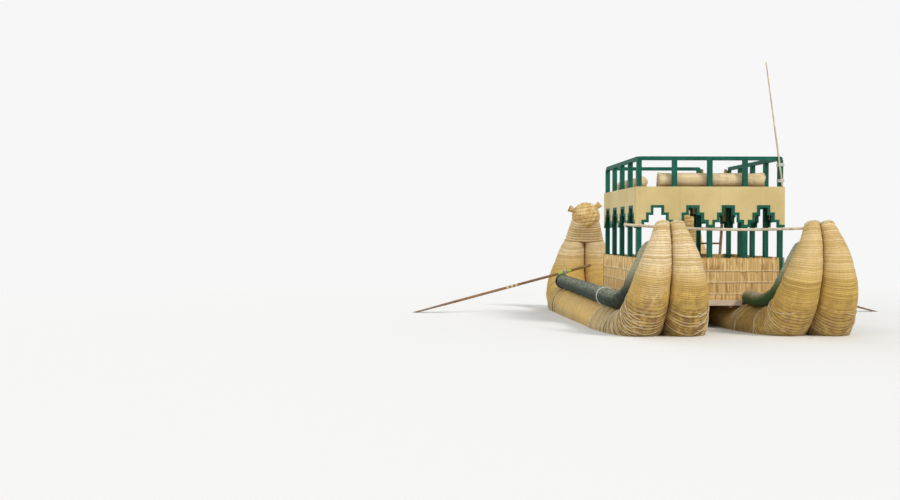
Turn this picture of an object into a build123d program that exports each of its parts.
from build123d import *
import os
from math import cos, radians, sin, sqrt, tan

os.makedirs("parts", exist_ok=True)

# Reed boat with two hulls, millimetres. +X is starboard, +Y is the bow and +Z is up. The boat stands on its
# four hull rolls, with the origin on the floor in the middle of its length and beam.

# Hulls: each is a pair of tapered reed rolls bound side by side, with both ends swept up.
hull_spacing = 2040        # between the two hulls' centre planes
roll_radius = 400          # one roll amidships
squeeze_share = 0.045      # how far a roll is pressed into its twin, as a share of its radius
binding_gap = 0.6          # between the flat faces of two bound rolls
full_half = 2050           # half the length over which a roll keeps its full girth
flat_stern = 2461          # length over which a roll's axis is level, aft of amidships
stern_sweep = 1200         # the axis turns up to the vertical on this radius
stern_curl = 740           # and then curls inboard on this one
flat_bow = 2703            # the same ahead of amidships
bow_sweep = 850
bow_curl = 1400

# Roll stations past the full girth: turn of the axis in degrees, radius.
STERN = [(0, 385), (30, 332), (50, 298), (70, 262), (90, 190), (106, 141), (122, 98)]
BOW = [(0, 398), (25, 410), (50, 403), (75, 355), (92, 297), (102, 248), (110, 200)]

seat_gap = 0.3             # a round face lies this far off its seat

# Gunwale rolls lie on the hull rolls and climb the upswept ends with them.
outer_gunwale_radius = 130
inner_gunwale_radius = 105
gunwale_tip_share = 0.62   # a gunwale's radius at the tip, as a share of its full radius
outer_gunwale_lean = 20    # degrees from the roll's crest towards the outside
inner_gunwale_lean = 14
inner_gunwale_gap = 40     # from the deck's aft board to the short gunwales' cut ends
gunwale_bow_end = 2700     # cut end of the long gunwales, ahead of amidships
gunwale_rise = 10          # how much a gunwale stands off the swept part of its roll
gunwale_stations = 6       # stern stations that a gunwale follows

# Deck: planks laid across the inner rolls, two stringers under them, a board along the aft edge.
plank_thickness = 40
plank_width = 190
plank_gap = 5
plank_count = 20
plank_half_length = 1200
stringer_width = 60
stringer_depth = 80
stringer_offset = 300
aft_board_half = 460
aft_board_depth = 80
aft_board_thickness = 40
deck_aft_margin = 35       # of deck aft of the cabin's mat
floor_mat_thickness = 15

# Cabin: square posts in bays, reed mats outside them below, panels with stepped arches above.
post_size = 70
cabin_aft = -1920          # centre line of the aft posts
aft_bay = 538
side_bay = 632
bays = 4
mat_thickness = 30
mat_height = 640
mat_inset = 30             # the aft mat's ends stand this far inside the corner posts' centre lines
panel_thickness = 20
panel_height = 575
arch_crown = 280           # from the panel's top down to the highest step
arch_step = 110            # height of one step of an arch
arch_tread = 70            # width of one step of an arch
arch_steps = 3
pendant_half = 28          # half the width of what hangs between two arches
trim_width = 40
trim_thickness = 26
door_crown = 150           # from the panel's top down to the door arch
arch_foot = 1712           # the panel's top above the deck
upper_floor_thickness = 25
joist_width = 60
joist_depth = 90
floor_notch_gap = 0.3      # round a post, in the upper floor

# Upper deck: guard rails and reed-roll seats.
rail_height = 456          # rail's top above the upper deck
rail_size = 58
rail_corner = 40
aft_seat_radius = 110
aft_seat_length = 1630
aft_seat_inset = 20        # from the rail posts' inner faces to the aft seat roll
aft_seat_shift = 65        # its middle lies this far to starboard
seat_waist = 12            # how deep the cords bite into a seat roll
seat_ties = (-0.36, 0.05, 0.38)      # where cords bind it, as shares of its length from its middle
side_seat_radius = 95
side_seat_length = 1500
side_seat_inset = 45
side_seat_ties = (-0.35, 0.35)

# Benches in the cabin.
bench_radius = 140
bench_length = 2200
bench_inset = 20
bench_ties = (-0.4, 0, 0.4)

# Ladder from the foredeck to the upper deck.
ladder_lean = 12           # degrees from upright
ladder_width = 420
stile_width = 35
stile_depth = 60
rung_radius = 16
rung_pitch = 280
ladder_overreach = 420     # past the upper deck

# Poles.
mast_radius = 15
mast_length = 1890
mast_lean = 8
mast_tip_share = 0.6       # the tip's radius, as a share of the foot's
lashing_heights = (90, 330)          # above the upper deck
lashing_slack = 12         # between a lashing and what it holds
lashing_thickness = 9
lashing_depth = 46
stern_pole_radius = 19
stern_pole_port = 1610     # its ends, from the centre plane
stern_pole_straight = 360  # straight length of its port end
stern_pole_stbd = 1200
stern_pole_rest = 2.0      # its clearance to the rolls' ends, on which it lies
stern_pole_bow = 15000     # radius of its sag

# Puma heads on the bow tips.
head_radius = 285
head_neck = 480            # from the seat on the tips to the middle of the head
head_aft = 40              # the head's middle stands this far aft of the neck's line
neck_overlap = 60          # the neck ends this far short of the head's middle
neck_width = 547           # across its end
neck_depth = 513           # and fore and aft
snout_root = 175
snout_end = 128
snout_reach = 415          # in front of the head's middle
snout_drop = 60            # the snout's axis below the head's middle
snout_round = 45
mouth_depth = 135
mouth_gape = 54            # half the mouth's opening at the lips
mouth_drop = 43            # the mouth below the snout's axis
ear_root = 48
ear_rim = 72
ear_length = 110
ear_wall = 16
ear_spread = 56            # degrees from the head's crown
head_roll = 8              # how far the head hangs over to port, in degrees

# Oars on rope grommets, one at each bow.
thole_setback = 320        # aft of the long gunwale's cut end
thole_radius = 16
thole_height = 250         # above the gunwale
thole_socket = 120
oar_radius = 25
oar_sleeve = 3             # thickness of the wrap where the oar is tied
oar_sleeve_length = 240
oar_slope = 15             # degrees down towards the blade
oar_outboard = 3130
oar_inboard = 520
blade_length = 900
blade_width = 150
blade_thickness = 24
blade_corner = 50
blade_spine_end = 60       # from the blade's end to where the shaft has run out
grommet_wall = 13
grommet_height = 40
grommet_gap = 0.5
oar_lift = 38              # the sleeve's clearance over the gunwale

# Sizes that follow from those above.
hull_x = hull_spacing / 2
thole_station = gunwale_bow_end - thole_setback
deck_top = 2 * roll_radius + seat_gap + plank_thickness
deck_aft = cabin_aft - post_size / 2 - mat_thickness - deck_aft_margin
cabin_half = bays * aft_bay / 2
cabin_front = cabin_aft + bays * side_bay
upper_deck = deck_top + arch_foot
rail_top = upper_deck + rail_height
skin = post_size / 2       # from a post's centre line to the mats and panels


def save(node, shape):
    """Write one sub-part to its STEP file."""
    export_step(shape, f"parts/{node}.step")


def block(x0, x1, y0, y1, z0, z1):
    """Rectangular block between two corners."""
    middle = ((x0 + x1) / 2, (y0 + y1) / 2, (z0 + z1) / 2)
    return Pos(*middle) * Box(x1 - x0, y1 - y0, z1 - z0)


def axis_point(turn, end):
    """Where a roll's axis is at this turn, past its level length: distance from amidships, height."""
    level, sweep, curl = (flat_bow, bow_sweep, bow_curl) if end > 0 else (flat_stern, stern_sweep, stern_curl)
    if turn <= 90:
        return (level + sweep * sin(radians(turn)),
                roll_radius + sweep * (1 - cos(radians(turn))))
    past = radians(turn - 90)
    return (level + sweep - curl * (1 - cos(past)),
            roll_radius + sweep + curl * sin(past))


def station_plane(turn, end):
    """Plane square to the rolls' axes at this turn; end is 1 at the bow and -1 at the stern."""
    along, up = axis_point(turn, end)
    tangent = (0, end * cos(radians(turn)), sin(radians(turn)))
    return Plane(origin=(0, end * along, up), x_dir=(1, 0, 0), z_dir=tangent)


def roll_offset(radius):
    """From a hull's centre plane to the axis of one of its rolls."""
    return radius * (1 - squeeze_share)


def roll_outline(radius):
    """Round section of one roll, flat where its twin is bound against it."""
    flat = binding_gap / 2
    half = sqrt(radius ** 2 - (roll_offset(radius) - flat) ** 2)
    arc = ThreePointArc((flat, half), (roll_offset(radius) + radius, 0), (flat, -half))
    return make_face(arc + Line((flat, -half), (flat, half)))


def hull_roll():
    """The roll on the +X side of a hull's centre plane: a straight middle and two swept, tapered ends."""
    start = Plane(origin=(0, full_half, roll_radius), x_dir=(1, 0, 0), z_dir=(0, 1, 0))
    roll = extrude(start * roll_outline(roll_radius), -2 * full_half)
    for end, stations in ((1, BOW), (-1, STERN)):
        first = Plane(origin=(0, end * full_half, roll_radius), x_dir=(1, 0, 0), z_dir=(0, end, 0))
        swept = [station_plane(turn, end) * roll_outline(radius) for turn, radius in stations]
        roll += loft([first * roll_outline(roll_radius), swept[0]], ruled=True)
        roll += loft(swept)
    return roll


def gunwale(radius, lean, cut_end):
    """A round roll lying on that hull roll, from its cut end up to the stern tip.

    lean turns it from the roll's crest away from the hull's centre plane. It is straight over the full
    girth, tapers with the roll, then climbs with it.
    """
    def section(plane, roll, size, rise):
        """The gunwale's round section where the hull roll has this radius."""
        reach = roll + size + rise
        away = plane.x_dir * (roll_offset(roll) + sin(radians(lean)) * reach)
        inward = plane.z_dir.cross(plane.x_dir) * (cos(radians(lean)) * reach)
        return Plane(origin=plane.origin + away + inward, x_dir=(1, 0, 0), z_dir=plane.z_dir) * Circle(size)

    first = min(-full_half, cut_end)
    taper = (-first - full_half) / (flat_stern - full_half)
    first_roll = roll_radius + (STERN[0][1] - roll_radius) * taper
    level = Plane(origin=(0, first, roll_radius), x_dir=(1, 0, 0), z_dir=(0, -1, 0))
    start = section(level, first_roll, radius, seat_gap)
    followed = STERN[:gunwale_stations]
    climb = [section(station_plane(turn, -1), roll,
                     radius * (1 - (1 - gunwale_tip_share) * turn / followed[-1][0]), gunwale_rise)
             for turn, roll in followed]
    piece = loft([start, climb[0]], ruled=True) + loft(climb)
    if cut_end > first:
        piece += extrude(start, -(cut_end - first))
    return piece


def arch_outline(half, crown, foot, inset=0.0):
    """Stepped arch from its foot up to its crown; inset draws the trim's inner edge."""
    right = [(half - inset, foot)]
    for step in range(arch_steps):
        x = half - inset - step * arch_tread
        z = crown - (arch_steps - 1 - step) * arch_step - inset
        right += [(x, z), (x - arch_tread, z)]
    right.pop()
    left = [(-x, z) for x, z in reversed(right)]
    return make_face(Polyline(*right, *left, close=True))


def wall_plane(origin, along):
    """Upright plane whose x runs along a wall, whose y is up and whose z points out of the cabin."""
    return Plane(origin=origin, x_dir=along, z_dir=Vector(*along).cross(Vector(0, 0, 1)))


def arched_wall(half_length, arches, plane):
    """A panel with stepped arches, and the trim that follows its lower edge.

    arches lists each arch: middle along the wall, half width, drop of its crown from the panel's top.
    Both stand on the plane, which is their inner face.
    """
    foot = upper_deck - panel_height
    panel = Pos(0, upper_deck - panel_height / 2) * Rectangle(2 * half_length, panel_height)
    trim = Pos(0, foot - trim_width / 2) * Rectangle(2 * half_length, trim_width)
    for middle, half, crown in arches:
        opening = Pos(middle, 0) * arch_outline(half, upper_deck - crown, foot)
        clear = Pos(middle, 0) * arch_outline(half, upper_deck - crown, foot - trim_width, trim_width)
        panel -= opening
        trim = trim + opening - clear
    return extrude(plane * panel, panel_thickness), extrude(plane * trim, trim_thickness)


def rail(x0, x1, y0, y1):
    """Guard rail on the posts, between two corners in plan."""
    return block(x0, x1, y0, y1, post_top, rail_top)


def rounded_ends(bar):
    """A rail along X with the top edges of its ends rounded."""
    return fillet(bar.edges().filter_by(Axis.Y).group_by(Axis.Z)[-1], rail_corner)


def reed_seat(radius, length, ties):
    """Reed roll along X, waisted where its cords bite; its middle is at the origin."""
    half = length / 2
    bite = seat_waist * 3
    outline = [Line((-half, 0), (-half, radius))]
    x = -half
    for share in ties:
        tie = share * length
        outline.append(Line((x, radius), (tie - bite, radius)))
        outline.append(ThreePointArc((tie - bite, radius), (tie, radius - seat_waist), (tie + bite, radius)))
        x = tie + bite
    outline.append(Line((x, radius), (half, radius)))
    outline.append(Line((half, radius), (half, 0)))
    outline.append(Line((half, 0), (-half, 0)))
    return revolve(make_face(Curve() + outline), Axis.X)


def puma_head():
    """Woven head on two bow tips: neck, ball, snout with open mouth, and cupped ears."""
    end_turn, end_radius = BOW[-1]
    seat = station_plane(end_turn, 1)
    middle = seat.origin + seat.z_dir * head_neck - Vector(0, head_aft, 0)
    low = seat * SlotOverall(2 * (roll_offset(end_radius) + end_radius), 2 * end_radius)
    high_plane = Plane(origin=middle - seat.z_dir * neck_overlap, x_dir=(1, 0, 0), z_dir=seat.z_dir)
    neck = loft([low, high_plane * SlotOverall(neck_width, neck_depth)])
    nose_axis = Plane(origin=(0, 0, -snout_drop), x_dir=(1, 0, 0), z_dir=(0, 1, 0))
    snout = loft([nose_axis * Circle(snout_root), nose_axis.offset(snout_reach) * Circle(snout_end)])
    snout = fillet(snout.faces().sort_by(Axis.Y)[-1].edges(), snout_round)
    mouth = -snout_drop - mouth_drop
    lips = snout_reach + snout_round
    gape = make_face(Polyline((snout_reach - mouth_depth, mouth), (lips, mouth + mouth_gape),
                              (lips, mouth - mouth_gape), close=True))
    snout -= extrude(Plane.YZ * gape, snout_root, both=True)
    skull = Sphere(head_radius) + snout
    for side in (-1, 1):
        out = Vector(sin(radians(side * ear_spread)), 0, cos(radians(ear_spread)))
        ear = Plane(origin=out * (head_radius - ear_wall), x_dir=(0, 1, 0), z_dir=out)
        rim = ear.offset(ear_length)
        skull += loft([ear * Circle(ear_root), rim * Circle(ear_rim)])
        skull -= loft([ear.offset(2 * ear_wall) * Circle(ear_root - ear_wall),
                       rim * Circle(ear_rim - ear_wall)])
    return neck + Pos(*middle) * (Rot(0, -head_roll, 0) * skull)


# Hull rolls and gunwales. Those on the other side of a hull's centre plane are mirrored.
gunwale_reach = roll_radius + outer_gunwale_radius + seat_gap
gunwale_x = hull_x + roll_offset(roll_radius) + sin(radians(outer_gunwale_lean)) * gunwale_reach
gunwale_z = roll_radius + cos(radians(outer_gunwale_lean)) * gunwale_reach
gunwale_top = gunwale_z + outer_gunwale_radius
roll = hull_roll()
outer_gunwale = gunwale(outer_gunwale_radius, outer_gunwale_lean, gunwale_bow_end)
socket = Cylinder(thole_radius + seat_gap, thole_socket, align=(Align.CENTER, Align.CENTER, Align.MAX))
outer_gunwale -= Pos(gunwale_x - hull_x, thole_station, gunwale_top) * socket
inner_gunwale = gunwale(inner_gunwale_radius, inner_gunwale_lean,
                        deck_aft - aft_board_thickness - inner_gunwale_gap)
for hull, hull_side in (("port", -1), ("stbd", 1)):
    pieces = [  # node, piece, side of the hull's centre plane
        (f"hull_{hull}_outer_roll", roll, hull_side),
        (f"hull_{hull}_inner_roll", roll, -hull_side),
        (f"gunwale_{hull}", outer_gunwale, hull_side),
        (f"inner_gunwale_{hull}", inner_gunwale, -hull_side),
    ]
    for node, piece, side in pieces:
        turned = piece if side > 0 else mirror(piece, about=Plane.YZ)
        save(node, Pos(hull_side * hull_x, 0, 0) * turned)

# Deck.
plank_under = deck_top - plank_thickness
deck_front = deck_aft + plank_count * (plank_width + plank_gap) - plank_gap
planks = []
for i in range(plank_count):
    y = deck_aft + i * (plank_width + plank_gap)
    planks.append(block(-plank_half_length, plank_half_length, y, y + plank_width, plank_under, deck_top))
save("deck_planks", Compound(children=planks))
stringers = [block(side * stringer_offset - stringer_width / 2, side * stringer_offset + stringer_width / 2,
                   deck_aft, deck_front, plank_under - stringer_depth, plank_under) for side in (-1, 1)]
save("deck_stringers", Compound(children=stringers))
save("deck_aft_board", block(-aft_board_half, aft_board_half, deck_aft - aft_board_thickness, deck_aft,
                             deck_top - aft_board_depth, deck_top))
save("cabin_floor_mat", block(-cabin_half + skin, cabin_half - skin, cabin_aft + skin, cabin_front - skin,
                              deck_top, deck_top + floor_mat_thickness))

# Posts: along the aft and front walls, then between them along the sides. The door has no middle post.
post_top = rail_top - rail_size
aft_posts = [(-cabin_half + i * aft_bay, cabin_aft) for i in range(bays + 1)]
front_posts = [(x, cabin_front) for x, _ in aft_posts if abs(x) > aft_bay / 2]
side_posts = [(side * cabin_half, cabin_aft + i * side_bay) for side in (-1, 1) for i in range(1, bays)]
for node, places in (("posts_aft", aft_posts), ("posts_front", front_posts), ("posts_side", side_posts)):
    save(node, Compound(children=[block(x - post_size / 2, x + post_size / 2, y - post_size / 2,
                                        y + post_size / 2, deck_top, post_top) for x, y in places]))

# Reed mats, fixed outside the posts.
mat_top = deck_top + mat_height
wall_half = cabin_half + skin + mat_thickness
aft_mat_half = cabin_half - mat_inset
save("mat_wall_aft", block(-aft_mat_half, aft_mat_half, cabin_aft - skin - mat_thickness, cabin_aft - skin,
                           deck_top, mat_top))
for hull, side in (("port", -1), ("stbd", 1)):
    inside, outside = sorted((side * (cabin_half + skin), side * wall_half))
    save(f"mat_wall_{hull}", block(inside, outside, cabin_aft - skin, cabin_front + skin, deck_top, mat_top))
    inside, outside = sorted((side * (aft_bay - post_size / 2), side * wall_half))
    save(f"mat_wall_front_{hull}", block(inside, outside, cabin_front + skin,
                                         cabin_front + skin + mat_thickness, deck_top, mat_top))

# Panels with stepped arches, one to each wall, with their trim.
aft_arches = [(-cabin_half + (i + 0.5) * aft_bay, aft_bay / 2 - pendant_half, arch_crown) for i in range(bays)]
front_arches = [aft_arches[0], (0, aft_bay - pendant_half, door_crown), aft_arches[-1]]
side_middle = (cabin_aft + cabin_front) / 2
side_arches = [((i + 0.5 - bays / 2) * side_bay, side_bay / 2 - pendant_half, arch_crown) for i in range(bays)]
long_half = cabin_half + skin + panel_thickness
short_half = (cabin_front - cabin_aft) / 2 + skin
WALLS = [  # name, half length, arches, a point of its inner face, direction along it
    ("aft", long_half, aft_arches, (0, cabin_aft - skin, 0), (1, 0, 0)),
    ("front", long_half, front_arches, (0, cabin_front + skin, 0), (-1, 0, 0)),
    ("port", short_half, side_arches, (-cabin_half - skin, side_middle, 0), (0, -1, 0)),
    ("stbd", short_half, side_arches, (cabin_half + skin, side_middle, 0), (0, 1, 0)),
]
for name, half_length, arches, origin, along in WALLS:
    panel, trim = arched_wall(half_length, arches, wall_plane(origin, along))
    save(f"arch_panel_{name}", panel)
    save(f"arch_trim_{name}", trim)

# Upper deck: joists across the cabin and a floor notched round the posts.
joist_top = upper_deck - upper_floor_thickness
joists = []
for i in range(bays + 1):
    y = cabin_aft + i * side_bay
    half = cabin_half - skin
    if i in (0, bays):
        half = cabin_half + skin
        y += (skin + joist_width / 2) * (1 if i == 0 else -1)
    joists.append(block(-half, half, y - joist_width / 2, y + joist_width / 2,
                        joist_top - joist_depth, joist_top))
save("upper_joists", Compound(children=joists))
floor = block(-cabin_half - skin, cabin_half + skin, cabin_aft - skin, cabin_front + skin,
              joist_top, upper_deck)
notch = post_size + 2 * floor_notch_gap
for x, y in aft_posts + front_posts + side_posts:
    floor -= Pos(x, y, joist_top) * Box(notch, notch, 4 * upper_floor_thickness)
save("upper_floor", floor)

# Guard rails on the posts, open over the ladder in the front starboard bay.
half_rail = rail_size / 2
rail_end = cabin_half + half_rail
save("rail_aft", rounded_ends(rail(-rail_end, rail_end, cabin_aft - half_rail, cabin_aft + half_rail)))
save("rail_front", rounded_ends(rail(-rail_end, aft_bay + half_rail,
                                     cabin_front - half_rail, cabin_front + half_rail)))
for hull, side in (("port", -1), ("stbd", 1)):
    x = side * cabin_half
    save(f"rail_{hull}", rail(x - half_rail, x + half_rail, cabin_aft + half_rail, cabin_front - half_rail))

# Reed-roll seats on the upper deck and benches in the cabin.
aft_seat_y = cabin_aft + skin + aft_seat_inset + aft_seat_radius
aft_seat = reed_seat(aft_seat_radius, aft_seat_length, seat_ties)
save("seat_roll_aft", Pos(aft_seat_shift, aft_seat_y, upper_deck + aft_seat_radius + seat_gap) * aft_seat)
for hull, side in (("port", -1), ("stbd", 1)):
    seat = reed_seat(side_seat_radius, side_seat_length, side_seat_ties)
    x = side * (cabin_half - skin - side_seat_inset - side_seat_radius)
    z = upper_deck + side_seat_radius + seat_gap
    save(f"seat_roll_{hull}", Pos(x, side_middle + side_seat_radius, z) * Rot(0, 0, 90) * seat)
    bench = reed_seat(bench_radius, bench_length, bench_ties)
    x = side * (cabin_half - skin - bench_inset - bench_radius)
    z = deck_top + floor_mat_thickness + bench_radius + seat_gap
    save(f"cabin_bench_{hull}", Pos(x, side_middle, z) * Rot(0, 0, 90) * bench)

# Ladder, leaning on the front panel's top edge over the bay with no rail.
climb = upper_deck - deck_top
lean = radians(ladder_lean)
stile_length = (climb + ladder_overreach) / cos(lean)
ladder_x = 1.5 * aft_bay
panel_face = cabin_front + skin + panel_thickness
ladder_foot = panel_face + seat_gap + climb * tan(lean) + stile_depth / 2 / cos(lean)
leaning = Plane(origin=(ladder_x, ladder_foot, deck_top), x_dir=(1, 0, 0), z_dir=(0, -sin(lean), cos(lean)))
stile_profile = Rectangle(stile_width, stile_depth)
ladder_half = ladder_width / 2
stiles = [extrude(leaning * Pos(side * ladder_half, 0) * stile_profile, stile_length) for side in (-1, 1)]
under_deck = block(ladder_x - ladder_width, ladder_x + ladder_width, cabin_front, deck_front + ladder_width,
                   deck_top - stile_depth, deck_top)
ladder = stiles[0] + stiles[1]
for i in range(1, int(stile_length / rung_pitch)):
    rung = Plane(origin=leaning.origin + leaning.z_dir * (i * rung_pitch) - Vector(ladder_half, 0, 0),
                 x_dir=(0, 1, 0), z_dir=(1, 0, 0))
    ladder += extrude(rung * Circle(rung_radius), ladder_width)
save("ladder", ladder - under_deck)

# Mast: a thin pole standing on the aft panel's top, tied to the starboard corner post.
mast_y = cabin_aft - skin - mast_radius - seat_gap
mast_x = cabin_half + skin - mast_radius
mast_axis = Plane(origin=(mast_x, mast_y, upper_deck + seat_gap + mast_radius * sin(radians(mast_lean))),
                  x_dir=(0, 1, 0), z_dir=(-sin(radians(mast_lean)), 0, cos(radians(mast_lean))))
mast = loft([mast_axis * Circle(mast_radius),
             mast_axis.offset(mast_length) * Circle(mast_radius * mast_tip_share)])
save("mast_pole", mast)
lashings = []
for height in lashing_heights:
    x = mast_x - height * tan(radians(mast_lean))
    x0 = min(cabin_half - skin, x - mast_radius) - lashing_slack
    x1 = cabin_half + skin + lashing_slack
    y0 = mast_y - mast_radius - seat_gap
    y1 = cabin_aft + skin + seat_gap
    outside = RectangleRounded(x1 - x0 + 2 * lashing_thickness, y1 - y0 + 2 * lashing_thickness, mast_radius)
    ring = outside - RectangleRounded(x1 - x0, y1 - y0, mast_radius / 3)
    lashing = extrude(ring, lashing_depth / 2, both=True)
    lashings.append(Pos((x0 + x1) / 2, (y0 + y1) / 2, upper_deck + height) * lashing)
save("mast_lashings", Compound(children=lashings))

# Puma heads.
head = puma_head()
for hull, side in (("port", -1), ("stbd", 1)):
    save(f"puma_head_{hull}", Pos(side * hull_x, 0, 0) * head)

# Stern pole: sags across both sterns, on the forward side of the curled tips.
pole_turn, pole_roll = STERN[-1]
pole_seat = station_plane(pole_turn, -1)
pole_middle = (pole_seat.origin + pole_seat.z_dir.cross(pole_seat.x_dir)
               * (pole_roll + stern_pole_radius + stern_pole_rest))


def pole_point(x):
    """Point of the sagging pole at this distance from the centre plane."""
    sag = stern_pole_bow * (cos(x / stern_pole_bow) - cos(hull_x / stern_pole_bow))
    return pole_middle + Vector(x, 0, 0) - pole_seat.z_dir * sag


pole_arc = ThreePointArc(pole_point(stern_pole_stbd), pole_point(0),
                         pole_point(stern_pole_straight - stern_pole_port))
pole_line = pole_arc + Line(pole_arc @ 1, pole_arc @ 1 + (pole_arc % 1) * stern_pole_straight)
pole_section = Plane(origin=pole_line @ 0, z_dir=pole_line % 0) * Circle(stern_pole_radius)
save("stern_pole", sweep(pole_section, pole_line))


# Tholes, grommets and oars.
sleeve_radius = oar_radius + oar_sleeve
oar_z = gunwale_top + oar_lift + sleeve_radius
grommet_outer = thole_radius + grommet_gap + grommet_wall
tie_outer = sleeve_radius + grommet_wall
oar_y = thole_station - grommet_outer - grommet_gap - tie_outer
pin = Cylinder(thole_radius, thole_height + thole_socket - seat_gap,
               align=(Align.CENTER, Align.CENTER, Align.MIN))
grommet = Cylinder(grommet_outer, grommet_height) - Cylinder(thole_radius + grommet_gap, grommet_height)
slope = radians(oar_slope)
for hull, side in (("port", -1), ("stbd", 1)):
    x = side * gunwale_x
    save(f"thole_{hull}", Pos(x, thole_station, gunwale_top - thole_socket + seat_gap) * pin)
    save(f"grommet_{hull}", Pos(x, thole_station, oar_z) * grommet)
    oar_axis = Plane(origin=(x, oar_y, oar_z), x_dir=(0, 1, 0), z_dir=(side * cos(slope), 0, -sin(slope)))
    oar = extrude(oar_axis.offset(-oar_inboard) * Circle(oar_radius), oar_inboard + oar_outboard - blade_length)
    oar += extrude(oar_axis.offset(-oar_sleeve_length / 2) * Circle(sleeve_radius), oar_sleeve_length)
    oar += extrude(oar_axis.offset(-grommet_height / 2) * Circle(tie_outer), grommet_height)
    oar += loft([oar_axis.offset(oar_outboard - blade_length) * Circle(oar_radius),
                 oar_axis.offset(oar_outboard - blade_spine_end) * Circle(blade_thickness / 2)])
    blade_middle = oar_axis.origin + oar_axis.z_dir * (oar_outboard - blade_length / 2)
    blade_plane = Plane(origin=blade_middle, x_dir=oar_axis.z_dir,
                        z_dir=oar_axis.z_dir.cross(oar_axis.x_dir))
    blade = RectangleRounded(blade_length, blade_width, blade_corner)
    oar += extrude(blade_plane * blade, blade_thickness / 2, both=True)
    save(f"oar_{hull}", oar)
